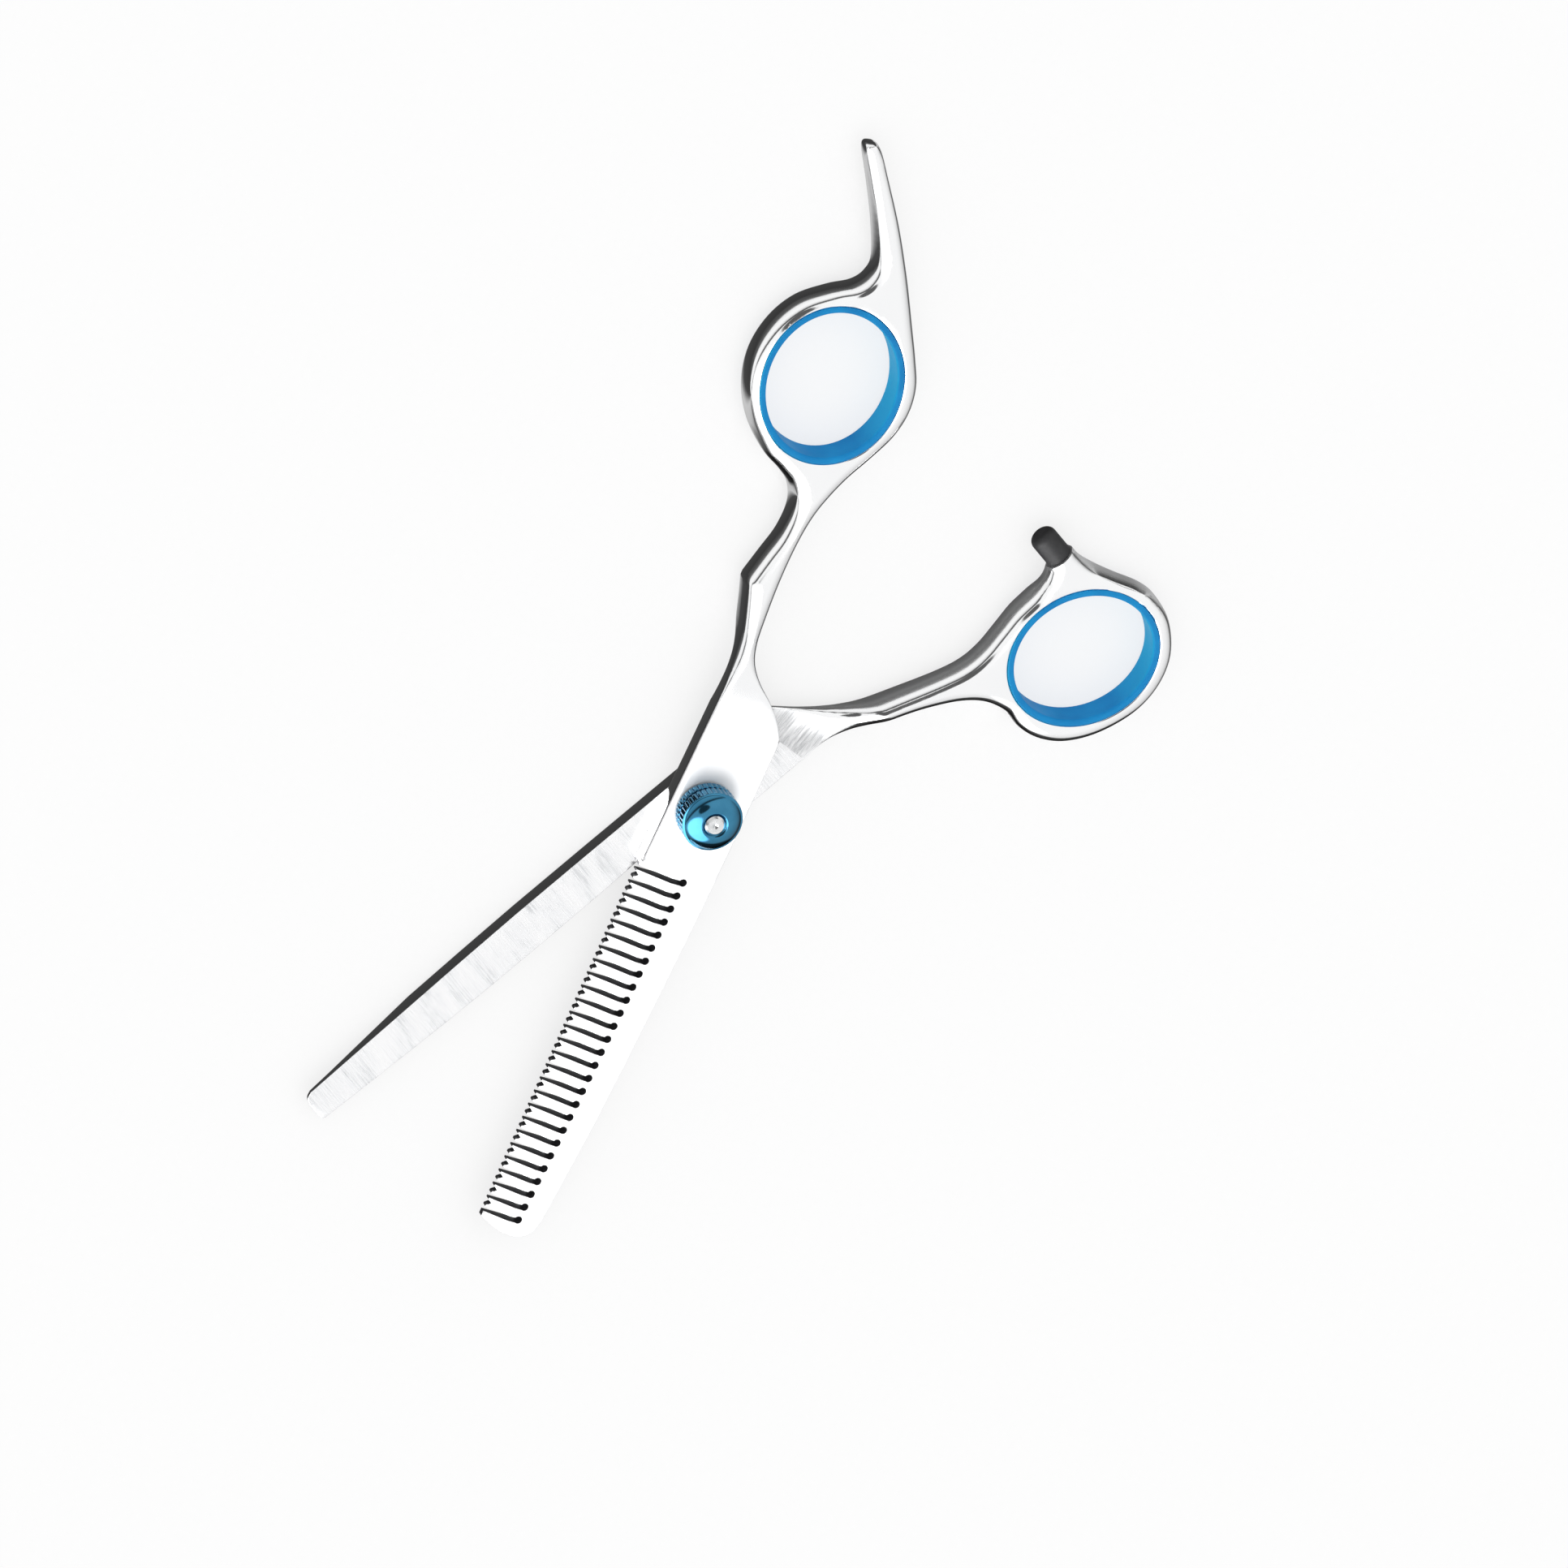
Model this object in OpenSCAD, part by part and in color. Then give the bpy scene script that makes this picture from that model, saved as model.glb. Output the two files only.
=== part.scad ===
// Thinning shears: a toothed finger half and a plain thumb half on one
// dial-adjusted pivot. The origin is on the pivot axis, in the thumb half's
// outer face, where the bolt's slot is and on which the shears lie. +X runs to
// the toothed blade's tip, +Y to its spine, +Z up to the dial.
// The modules draw about the ride plane between the halves, plate_t higher.

/* [Halves] */
// Thickness of each half at the pivot and along the spine of its blade
plate_t = 3.1; // [2.9:0.1:3.3]
// Thickness of the shanks and finger rings
shank_t = 4.8; // [4.6:0.1:5.2]
// Thickness at the end of the tang
tang_tip_t = 2.8; // [2.4:0.1:3.2]
// Gap between the two halves at the ride plane
ride_gap = 0.08; // [0.06:0.01:0.12]
// Angle between the halves as drawn
open_angle = 31; // [20:1:50]

/* [Toothed blade] */
// Number of slots in the toothed blade
slot_count = 27; // [20:1:27]
// Distance from one tooth to the next
tooth_pitch = 2.15; // [1.9:0.05:2.15]
// Width of a slot
slot_w = 0.72; // [0.6:0.02:0.84]
// Diameter of the round eye at the root of a slot
slot_eye_d = 1.15; // [1.0:0.05:1.25]
// Depth of the hair notch in each tooth tip
notch_depth = 0.6; // [0.4:0.05:0.7]
// Thickness of a tooth at its tip
tooth_tip_t = 1.2; // [1.0:0.1:1.4]
// Spine thickness at the toothed blade's end
comb_end_t = 2.4; // [2.0:0.1:2.8]

/* [Straight blade] */
// Thickness left at the cutting edge
edge_t = 0.35; // [0.25:0.05:0.5]
// Spine thickness at the straight blade's end
blade_end_t = 1.1; // [0.9:0.1:1.5]

/* [Rings] */
// Long axis of the finger ring's hole in the steel
finger_hole_l = 24.7; // [24.1:0.1:24.9]
// Short axis of the finger ring's hole in the steel
finger_hole_w = 21.5; // [21:0.1:21.7]
// Long axis of the thumb ring's hole in the steel
thumb_hole_l = 22.8; // [22.2:0.1:23]
// Short axis of the thumb ring's hole in the steel
thumb_hole_w = 20.9; // [20.3:0.1:21.1]
// Wall of the soft inserts
insert_wall = 0.95; // [0.8:0.05:1.2]
// Height of the bead that holds an insert in its ring
insert_bead = 0.25; // [0.15:0.05:0.3]

/* [Pivot] */
// Diameter of the pivot bolt where the halves turn on it
bolt_d = 4.0; // [3.6:0.1:4.2]
// Diameter of the bolt's threaded end
thread_d = 3.0; // [2.8:0.1:3.1]
// Diameter of the bolt's head
bolt_head_d = 8.0; // [7.4:0.1:8.4]
// Height of the bolt's head
bolt_head_h = 1.4; // [1.2:0.1:1.5]
// Wall of the bush in the finger half
bush_wall = 0.8; // [0.7:0.1:0.9]
// Radial running clearance of the pivot and the dial
running_gap = 0.04; // [0.03:0.01:0.06]

/* [Dial] */
// Diameter of the adjusting dial
dial_d = 9.0; // [8.8:0.1:9.4]
// Height of the adjusting dial
dial_h = 5.1; // [4.9:0.1:5.5]
// Number of grooves round each knurled band
knurl_count = 36; // [24:1:40]
// Depth of the knurl
knurl_depth = 0.22; // [0.15:0.01:0.3]

/* [Bumper] */
// Diameter of the rubber bumper
bumper_d = 4.0; // [3.6:0.1:4.2]
// Length of the bumper that stands out of its boss
bumper_l = 5.0; // [4.6:0.1:5.0]
// Diameter of the stud that holds the bumper
stud_d = 2.0; // [1.8:0.1:2.2]

/* [Hidden] */
$fn = 64;
eps = 0.01;
reach = 120;            // longer than either half, for cutting tools

steel = "gainsboro";
blue = "deepskyblue";

// Blade ends and the comb
blade_x = 10.5;         // where the ground blade faces start
blade_end_x = 70;
thinning_x = 50;        // where the spines start to thin towards the ends
swell_x = [-22, -40];   // where the plates start to thicken and reach the shanks' thickness
tang_x = [-80, -104];   // where the tang starts to thin, and just past its end
slot_x0 = 11.65;        // first slot
comb_tip_y = [-5.2, -5.5];   // tooth tips at the first and last slot
slot_root_y = [2.1, 0.0];    // slot ends at the first and last slot
comb_bevel_y = -0.3;    // where the comb's ground face starts
eye_offset = 0.17;      // slot eye, off the slot's middle
edge_bevel_y = -2.3;    // where the straight blade's ground face starts
edge_y = 2.9;           // straight blade's cutting edge

// Flutes: the ground hollows behind the pivot where each half thickens
flute_r = 14;
flute_x = -17.6;
flute_depth = 0.45;
flute_skew = 12;

// Rings
finger_ring_at = [-66.5, -8.3];
finger_ring_turn = 21;
thumb_ring_at = [-55.4, 19.45];
thumb_ring_turn = -14;
insert_gap = 0.02;
groove_gap = 0.05;      // room behind an insert's bead
insert_t = shank_t + 0.1;
bead_w = 1.0;
oval_points = 96;

// Pivot stack, from the ride plane up
washer_t = 0.36;
washer_d = 9.0;
washer_gap = 0.02;
recess_gap = 0.1;       // room round the washer, as a radius
bush_d = bolt_d + 2 * running_gap + 2 * bush_wall;
glide_t = 0.3;
glide_d = dial_d - 0.6;
dial_z = plate_t + glide_t + 0.05;
thread_z = plate_t + 0.1;
cavity_d = dial_d - 1.8;
cavity_h = 1.35;
spring_z = dial_z;
spring_h = 0.62;
spring_t = 0.25;
click_gap = 0.05;
click_z = spring_z + spring_h + click_gap;
click_t = 0.5;
click_d = cavity_d - 0.4;
click_notches = 12;
flat_w = thread_d - 0.5;     // across the two flats that key the click plate
bolt_top = dial_z + dial_h + 0.2;
neck_w = bolt_d * 0.9;       // square neck that keys the bolt in the thumb half
head_sink = 0.05;
head_gap = 0.03;        // room round the bolt's head, as a radius
head_slot = [1.0, 0.5]; // width and depth of the screwdriver slot
end_chamfer = 0.3;
centre_mark = [0.9, 0.35];   // diameter and depth
key_gap = 0.03;         // room round the click plate's key
notch_w = 0.5;
notch_t = 0.2;

// Bumper boss on the thumb half
bumper_x = -61.9;
boss_y = 5.1;
bumper_nose_r = 1.2;
bumper_gap = 0.02;      // between the bumper and its boss
stud_depth = 4;
stud_end_gap = 0.2;     // room past the stud's end in the boss

// ---- outlines ---------------------------------------------------------------

// One point of the smooth curve between b and c; a and d are their neighbours
function between(a, b, c, d, t) =
    0.5 * (2 * b + (c - a) * t + (2 * a - 5 * b + 4 * c - d) * t * t
           + (3 * b - a - 3 * c + d) * t * t * t);

// Smooth curve through the points p, without its last point
function smooth(p, steps = 6) =
    [for (i = [0 : len(p) - 2], k = [0 : steps - 1])
        between(p[max(i - 1, 0)], p[i], p[i + 1], p[min(i + 2, len(p) - 1)], k / steps)];

function oval(l, w) =
    [for (k = [0 : oval_points - 1])
        let (a = 360 * k / oval_points) [l / 2 * cos(a), w / 2 * sin(a)]];

// Finger half, from the tang's end along the back of the ring to the plate
finger_back = [
    [-102.9, -16.9], [-102.2, -15.5], [-98.4, -12.7], [-92, -8.2], [-85, -3.9],
    [-78.4, -0.2], [-73.5, 2.5], [-69.5, 4.4], [-65.4, 5.0], [-61.4, 4.3],
    [-57.5, 2.5], [-53.5, 0.35], [-50, -1.1], [-46.4, -2.15], [-42, -2.7],
    [-36, -2.87], [-30.4, -2.75], [-26, -2.45], [-23, -1.65], [-20.5, 0.15],
    [-18, 2.85], [-15.5, 5.0], [-13, 6.5]];
finger_spine = [[-13, 6.5], [6, 6.2], [30, 5.2], [50, 4.1], [66.5, 2.9]];
finger_end = [[66.5, 2.9], [68.6, 2.3], [69.7, 1.0], [70, -0.8], [69.6, -3.2], [68.7, comb_tip_y[1]]];
finger_heel = [[10.9, comb_tip_y[0]], [10.2, -5.6]];
finger_plate_edge = [[10.2, -5.6], [0, -5.3], [-10, -5.0], [-20, -4.8], [-25.6, -5.3],
    [-30.4, -6.6], [-34.4, -7.95]];
// ... and from the finger rest's crest round the ring to the tang's end
finger_front = [
    [-34.4, -7.95], [-38.6, -6.85], [-42.6, -5.85], [-46.6, -5.85], [-49.6, -7.2],
    [-51.7, -9.9], [-53.6, -13.2], [-57.4, -17.2], [-62.3, -20.1], [-67.6, -21.2],
    [-72.8, -20.3], [-77, -17.8], [-79.9, -13.9], [-81.6, -10.8], [-83.5, -9.45],
    [-86, -9.5], [-91.6, -12.15], [-97.6, -15.65], [-101.2, -17.85], [-102.5, -18.1],
    [-102.9, -16.9]];

// Thumb half, from the boss along the inside of the shank to the plate
thumb_inside = [
    [-59.6, boss_y], [-58.2, 6.0], [-55.6, 6.6], [-52, 7.0], [-48.5, 7.9], [-45, 8.75],
    [-41.7, 8.9], [-38, 8.1], [-32, 6.15], [-27, 4.4], [-24.2, 2.75], [-21.8, 0.8],
    [-19.4, -1.5], [-17.4, -3.6], [-15.6, -5.4]];
thumb_spine = [[-15.6, -5.4], [3, -4.85], [30, -4.0], [50, -2.95], [69.2, -1.85]];
thumb_end = [[69.2, -1.85], [70.1, -1.35], [70.4, -0.4], [70.4, 2.3], [69.9, edge_y - 0.05]];
thumb_edge = [[69.9, edge_y - 0.05], [56, edge_y], [40, 2.75], [20, 2.0], [9.6, 1.4]];
thumb_heel = [[9.6, 1.4], [8.7, 2.2], [8.1, 4.9], [7, 5.4]];
thumb_outside = [
    [7, 5.4], [-6, 5.6], [-14, 5.3], [-19, 5.4], [-22.5, 6.3], [-26, 7.65], [-30, 9.0],
    [-34, 10.75], [-38, 13.1], [-40.6, 15.7], [-41.9, 18.9], [-41.9, 22.4], [-43.2, 26.0],
    [-45.9, 29.0], [-50.3, 31.2], [-56, 32.15], [-61, 31.2], [-65.2, 28.5], [-68.1, 24.0],
    [-68.8, 20], [-68.2, 17.0], [-66.4, 13.2], [-65, 9.9], [-64.3, 7.2], [-64.2, boss_y]];

// Slot k's place along the comb, its root and its mouth
function slot_x(k) = slot_x0 + k * tooth_pitch;
function along_comb(ends, x) =
    ends[0] + (ends[1] - ends[0]) * (x - slot_x0) / (blade_end_x - slot_x0);

module slot(k) {
    x = slot_x(k);
    root = along_comb(slot_root_y, x) - slot_eye_d / 2;
    mouth = along_comb(comb_tip_y, x) - 1;
    translate([x - slot_w / 2, mouth]) square([slot_w, root - mouth]);
    translate([x - eye_offset, root]) circle(d = slot_eye_d, $fn = 24);
}

// The V in the tip of the tooth after slot k
module hair_notch(k) {
    x = slot_x(k) + tooth_pitch / 2;
    tip = along_comb(comb_tip_y, x);
    half = notch_depth * 0.75;
    polygon([[x, tip + notch_depth], [x - half, tip], [x - half, tip - 1],
             [x + half, tip - 1], [x + half, tip]]);
}

module finger_outline() {
    difference() {
        polygon(concat(smooth(finger_back), smooth(finger_spine, 2), smooth(finger_end, 4),
                       [finger_end[5]], finger_heel, smooth(finger_plate_edge, 4),
                       smooth(finger_front)));
        for (k = [0 : slot_count - 1]) {
            slot(k);
            if (k < slot_count - 1) hair_notch(k);
        }
    }
}

module thumb_outline() {
    polygon(concat(smooth(thumb_inside), smooth(thumb_spine, 2), smooth(thumb_end, 4),
                   smooth(thumb_edge, 2), smooth(thumb_heel, 3), smooth(thumb_outside),
                   [thumb_outside[24]]));
}

// ---- shared cutting tools ---------------------------------------------------

// A solid whose side view is the polygon p, seen across the shears
module side_prism(p) {
    translate([0, reach / 2, 0]) rotate([90, 0, 0]) linear_extrude(reach) polygon(p);
}

// A solid whose end view is the polygon p, seen along the blade, from x on
module end_prism(p, x) {
    translate([x, 0, 0]) rotate([90, 0, 90]) linear_extrude(reach) polygon(p);
}

// Side view shared by both halves: thinning blade, flat plate, thicker shank
function half_profile(end_t, tail) = concat(
    [[blade_end_x + 5, -shank_t / 2], [blade_end_x + 5, end_t], [blade_end_x, end_t],
     [thinning_x, plate_t], [swell_x[0], plate_t], [swell_x[1], shank_t / 2]],
    tail);

// Everything on the far side of the ride plane, with the flute behind it
module ride_cut(skew) {
    translate([flute_x, 0, 0]) rotate([0, 0, skew]) {
        translate([0, -reach / 2, -reach]) cube([reach, reach, reach + ride_gap / 2]);
        translate([0, 0, flute_depth - flute_r]) rotate([90, 0, 0])
            cylinder(r = flute_r, h = reach, center = true, $fn = 96);
    }
}

// Hole for an insert, with the groove that its bead snaps into
module ring_hole(at, turn, l, w) {
    translate(at) rotate([0, 0, turn]) {
        translate([0, 0, -reach / 2]) linear_extrude(reach) polygon(oval(l, w));
        translate([0, 0, -bead_w / 2 - insert_gap])
            linear_extrude(bead_w + 2 * insert_gap)
                polygon(oval(l + 2 * insert_bead + 2 * groove_gap, w + 2 * insert_bead + 2 * groove_gap));
    }
}

module insert(at, turn, l, w) {
    outer_l = l - 2 * insert_gap;
    outer_w = w - 2 * insert_gap;
    color(blue) translate(at) rotate([0, 0, turn]) difference() {
        union() {
            translate([0, 0, -insert_t / 2]) linear_extrude(insert_t) polygon(oval(outer_l, outer_w));
            translate([0, 0, -bead_w / 2]) linear_extrude(bead_w)
                polygon(oval(outer_l + 2 * insert_bead, outer_w + 2 * insert_bead));
        }
        translate([0, 0, -insert_t]) linear_extrude(2 * insert_t)
            polygon(oval(outer_l - 2 * insert_wall, outer_w - 2 * insert_wall));
    }
}

module washer(d, hole_d, t) {
    difference() {
        cylinder(d = d, h = t);
        translate([0, 0, -t]) cylinder(d = hole_d, h = 3 * t);
    }
}

// Moves a piece drawn about the ride plane up, so that the shears lie at z = 0
module lifted() {
    translate([0, 0, plate_t]) children();
}

// Moves a piece drawn in the thumb half's own frame to where the half stands
module on_thumb() {
    rotate([0, 0, -open_angle]) children();
}

// ---- the two halves ---------------------------------------------------------

module finger_half() {
    tang = [[tang_x[0], shank_t / 2], [tang_x[1], tang_tip_t / 2],
            [tang_x[1], -tang_tip_t / 2], [tang_x[0], -shank_t / 2]];
    comb_bevel = [[comb_bevel_y, plate_t], [comb_tip_y[0] - 0.4, tooth_tip_t],
                  [comb_tip_y[0] - 3, tooth_tip_t - 1], [comb_tip_y[0] - 3, plate_t + 2],
                  [comb_bevel_y, plate_t + 2]];
    color(steel) difference() {
        intersection() {
            translate([0, 0, -reach / 2]) linear_extrude(reach) finger_outline();
            side_prism(half_profile(comb_end_t, tang));
        }
        ring_hole(finger_ring_at, finger_ring_turn, finger_hole_l, finger_hole_w);
        ride_cut(-flute_skew);
        end_prism(comb_bevel, blade_x);
        translate([0, 0, -reach / 2]) cylinder(d = bush_d, h = reach);
        translate([0, 0, -reach / 2])
            cylinder(d = washer_d + 2 * recess_gap, h = reach / 2 + washer_t / 2 + washer_gap);
    }
}

module thumb_half() {
    ring = [[tang_x[0], shank_t / 2], [tang_x[0], -shank_t / 2]];
    edge_bevel = [[edge_bevel_y, plate_t], [edge_y, edge_t], [edge_y + 3, edge_t - 1.4],
                  [edge_y + 3, plate_t + 2], [edge_bevel_y, plate_t + 2]];
    color(steel) on_thumb() difference() {
        mirror([0, 0, 1]) difference() {
            intersection() {
                translate([0, 0, -reach / 2]) linear_extrude(reach) thumb_outline();
                side_prism(half_profile(blade_end_t, ring));
            }
            ride_cut(flute_skew);
            end_prism(edge_bevel, blade_x - 1);
        }
        ring_hole(thumb_ring_at, thumb_ring_turn, thumb_hole_l, thumb_hole_w);
        translate([0, 0, -washer_t / 2]) cylinder(d = washer_d + 2 * recess_gap, h = reach);
        translate([-neck_w / 2 - washer_gap, -neck_w / 2 - washer_gap, -plate_t])
            cube([neck_w + 2 * washer_gap, neck_w + 2 * washer_gap, 2 * plate_t]);
        translate([0, 0, -plate_t - 1])
            cylinder(d = bolt_head_d + 2 * head_gap, h = 1 + bolt_head_h + head_sink + washer_gap);
        translate([bumper_x, boss_y - 1, 0]) rotate([-90, 0, 0])
            cylinder(d = stud_d + 2 * insert_gap, h = 1 + stud_depth + stud_end_gap, $fn = 32);
    }
}

module finger_insert() {
    insert(finger_ring_at, finger_ring_turn, finger_hole_l, finger_hole_w);
}

module thumb_insert() {
    on_thumb() insert(thumb_ring_at, thumb_ring_turn, thumb_hole_l, thumb_hole_w);
}

// ---- the pivot --------------------------------------------------------------

module pivot_bush() {
    z = washer_t / 2 + washer_gap;
    color("goldenrod") translate([0, 0, z])
        washer(bush_d, bolt_d + 2 * running_gap, plate_t - z);
}

module blade_washer() {
    color("white") translate([0, 0, -washer_t / 2]) washer(washer_d, bolt_d + 0.2, washer_t);
}

module pivot_bolt() {
    head_z = -plate_t + head_sink;
    color(steel) on_thumb() difference() {
        union() {
            translate([0, 0, head_z]) cylinder(d = bolt_head_d, h = bolt_head_h);
            translate([-neck_w / 2, -neck_w / 2, head_z + bolt_head_h])
                cube([neck_w, neck_w, -washer_t / 2 - head_z - bolt_head_h]);
            translate([0, 0, -washer_t / 2 - eps]) cylinder(d = bolt_d, h = thread_z + washer_t / 2 + eps);
            translate([0, 0, thread_z - eps])
                cylinder(d = thread_d, h = bolt_top - end_chamfer - thread_z + eps);
            translate([0, 0, bolt_top - end_chamfer])
                cylinder(d1 = thread_d, d2 = thread_d - 2 * end_chamfer, h = end_chamfer);
        }
        // Flats for the click plate
        for (side = [0, 180]) rotate([0, 0, side])
            translate([flat_w / 2, -thread_d, thread_z])
                cube([thread_d, 2 * thread_d, click_z + click_t + click_gap - thread_z]);
        // Centre mark in the end
        translate([0, 0, bolt_top - centre_mark[1]])
            cylinder(d1 = 0.1, d2 = centre_mark[0], h = centre_mark[1] + eps);
        // Slot across the head for a screwdriver
        translate([-bolt_head_d, -head_slot[0] / 2, head_z - 1])
            cube([2 * bolt_head_d, head_slot[0], 1 + head_slot[1]]);
    }
}

module glide_washer() {
    color("dimgray") translate([0, 0, plate_t]) washer(glide_d, bolt_d + 0.3, glide_t);
}

// Coned spring washer that pushes the click plate up against the dial
module spring_washer() {
    inner = bolt_d / 2 + 0.1;
    outer = cavity_d / 2 - 0.25;
    color("silver") translate([0, 0, spring_z]) rotate_extrude()
        polygon([[inner, spring_h - spring_t], [outer, 0], [outer, spring_t], [inner, spring_h]]);
}

module click_plate() {
    color("silver") on_thumb() translate([0, 0, click_z]) difference() {
        cylinder(d = click_d, h = click_t);
        intersection() {
            translate([0, 0, -1]) cylinder(d = thread_d + 2 * key_gap, h = 3);
            translate([-flat_w / 2 - key_gap, -thread_d, -1])
                cube([flat_w + 2 * key_gap, 2 * thread_d, 3]);
        }
        for (k = [0 : click_notches - 1]) rotate([0, 0, 360 * k / click_notches])
            translate([click_d / 2 - 2 * notch_w, -notch_w / 2, click_t - notch_t])
                cube([click_d, notch_w, click_t]);
    }
}

// ---- the dial ---------------------------------------------------------------

// Ring of the dial with upright grooves round it
module knurled_band(d, h) {
    linear_extrude(h) polygon([for (k = [0 : 2 * knurl_count - 1])
        let (r = d / 2 - (k % 2) * knurl_depth, a = 180 * k / knurl_count)
            [r * cos(a), r * sin(a)]]);
}

module adjusting_dial() {
    band_h = dial_h * 0.27;
    groove_h = dial_h * 0.08;
    upper_z = band_h + groove_h;
    dome_z = dial_h * 0.7;
    top_r = thread_d / 2 + 0.2;
    rim_r = dial_d / 2 - 1.3 * knurl_depth;
    dome = [for (a = [0 : 10 : 90])
        [top_r + (rim_r - top_r) * cos(a), dome_z + (dial_h - dome_z) * sin(a)]];
    color("steelblue") translate([0, 0, dial_z]) difference() {
        union() {
            knurled_band(dial_d, band_h);
            translate([0, 0, band_h - eps]) cylinder(d = dial_d - 3 * knurl_depth, h = groove_h + 2 * eps);
            translate([0, 0, upper_z]) knurled_band(dial_d, dome_z - upper_z);
            rotate_extrude() polygon(concat([[0, dome_z - eps], [rim_r, dome_z - eps]], dome, [[0, dial_h]]));
        }
        translate([0, 0, -1]) cylinder(d = cavity_d, h = 1 + cavity_h);
        translate([0, 0, -1]) cylinder(d = thread_d + 2 * running_gap, h = dial_h + 2);
    }
}

// ---- the bumper -------------------------------------------------------------

// Along the bumper's axis, from the boss out
module along_bumper(d, from, to) {
    translate([bumper_x, boss_y - from, 0]) rotate([90, 0, 0]) cylinder(d = d, h = to - from, $fn = 32);
}

module bumper() {
    nose = [for (a = [0 : 15 : 90]) [bumper_d / 2 - bumper_nose_r * (1 - cos(a)),
                                     bumper_l - bumper_nose_r * (1 - sin(a))]];
    color("dimgray") on_thumb() difference() {
        translate([bumper_x, boss_y, 0]) rotate([90, 0, 0]) rotate_extrude($fn = 48)
            polygon(concat([[0, bumper_gap], [bumper_d / 2, bumper_gap]], nose, [[0, bumper_l]]));
        along_bumper(stud_d + 2 * insert_gap, -1, bumper_l / 2 + insert_gap);
    }
}

module bumper_stud() {
    color("goldenrod") on_thumb() along_bumper(stud_d, -stud_depth, bumper_l / 2);
}

lifted() finger_half();
lifted() thumb_half();
lifted() finger_insert();
lifted() thumb_insert();
lifted() pivot_bush();
lifted() blade_washer();
lifted() pivot_bolt();
lifted() glide_washer();
lifted() spring_washer();
lifted() click_plate();
lifted() adjusting_dial();
lifted() bumper();
lifted() bumper_stud();
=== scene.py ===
"""Thinning shears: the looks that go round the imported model.

Lengths are in millimetres while a piece is being worked out, and become metres
when its mesh is made. Each half is drawn in its own frame: x along its blade, y
across it, and a height measured from the plane where the halves ride on each
other, positive towards the half's outside.
"""
import math

import bmesh
import bpy
import numpy as np
from mathutils import Matrix, Vector
from mathutils.geometry import delaunay_2d_cdt
from mathutils.kdtree import KDTree


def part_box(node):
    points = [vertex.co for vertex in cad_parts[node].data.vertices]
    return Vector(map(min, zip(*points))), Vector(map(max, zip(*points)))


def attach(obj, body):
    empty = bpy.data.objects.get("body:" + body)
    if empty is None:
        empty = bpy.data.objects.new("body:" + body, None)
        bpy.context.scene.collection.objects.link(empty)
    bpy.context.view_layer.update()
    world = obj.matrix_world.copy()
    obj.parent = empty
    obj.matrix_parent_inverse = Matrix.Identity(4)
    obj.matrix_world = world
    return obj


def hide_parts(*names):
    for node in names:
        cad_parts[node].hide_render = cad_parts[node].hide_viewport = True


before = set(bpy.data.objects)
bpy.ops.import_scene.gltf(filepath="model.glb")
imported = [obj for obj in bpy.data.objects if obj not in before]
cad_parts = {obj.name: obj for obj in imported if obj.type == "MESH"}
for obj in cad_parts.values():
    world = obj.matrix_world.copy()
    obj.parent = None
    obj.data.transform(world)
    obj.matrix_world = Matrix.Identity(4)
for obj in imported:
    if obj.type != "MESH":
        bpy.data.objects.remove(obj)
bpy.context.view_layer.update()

MM = 0.001
WELD = 1e-7             # metres between points that count as one
CHUNK = 2000            # points handled at a time, to limit the memory
MIN_WALL = 0.02
GRID = 0.8              # spacing of the halves' points on their flat areas
RIM_STEP = 0.5          # and along their outlines
ROW_SHARE = 0.97        # share of its distance from a rim that a row's point has to keep
ROW_GAP = 0.05          # the same towards other rims, at most
ROWS = 9                # rows of points across a wide rounding
CORNER_DEG = 35         # a rim that turns more than this in one point has no rows there
OFF_RIM = 0.1           # a point is off the rounding beyond this distance from the rim
OFF_DROP = 0.03         # and where it drops by less than this


# ---- sizes from the frame -----------------------------------------------------

def box_mm(node):
    """Lowest and highest corners of a CAD node, in millimetres."""
    low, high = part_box(node)
    return np.array(low) / MM, np.array(high) / MM


finger_low, finger_high = box_mm("finger_half")
thumb_low = box_mm("thumb_half")[0]
bolt_high = box_mm("pivot_bolt")[1]
dial_low, dial_high = box_mm("adjusting_dial")
washer_low, washer_high = box_mm("blade_washer")

RIDE_Z = (washer_low[2] + washer_high[2]) / 2
PLATE_T = RIDE_Z - thumb_low[2]
SHANK_HALF = RIDE_Z - finger_low[2]
TANG_HALF = 1.4
RIDE_GAP = 0.04                     # from the ride plane to each half's flat riding side
OPEN_ANGLE = math.radians(31)

SWELL_X = (-22.0, -40.0)            # where the plate thickens into the shank
TANG_X = (-80.0, -104.0)            # where the ring thins into the tang
THINNING_X = 50.0                   # where the blades start to thin towards the tip
BLADE_END_X = finger_high[0]
HEEL_STEP = 0.12                    # length of the step where a ground face starts

COMB_HEEL_X = 10.5
COMB_HEEL_Y = -5.5                  # how far across the comb the heel's step runs
COMB_GROUND_Y = -0.3                # where its ground face starts to fall
COMB_TIPS = (-5.6, 1.2)             # y and height of that face at the tips of the teeth
COMB_END_T = 2.4                    # height of the spine at the end of the blade
TEETH_AREA = (COMB_HEEL_X + 0.3, 3.0)

BLADE_HEEL_X = 9.5
BLADE_HEEL_Y = 6.0
BLADE_GROUND_Y = -2.3
BLADE_CUTS = (2.9, 0.35)            # y and height of its ground face at the cutting edge
BLADE_END_T = 1.1
BOSS_Y = 5.1                        # flat end of the boss that carries the bumper

WASHER_RECESS_R = (washer_high[0] - washer_low[0]) / 2 + 0.1
WASHER_RECESS_DEPTH = (washer_high[2] - washer_low[2]) / 2 + 0.02
HEAD_RECESS_R = 4.03                # for the bolt's head
HEAD_RECESS_DEPTH = 1.47

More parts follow.
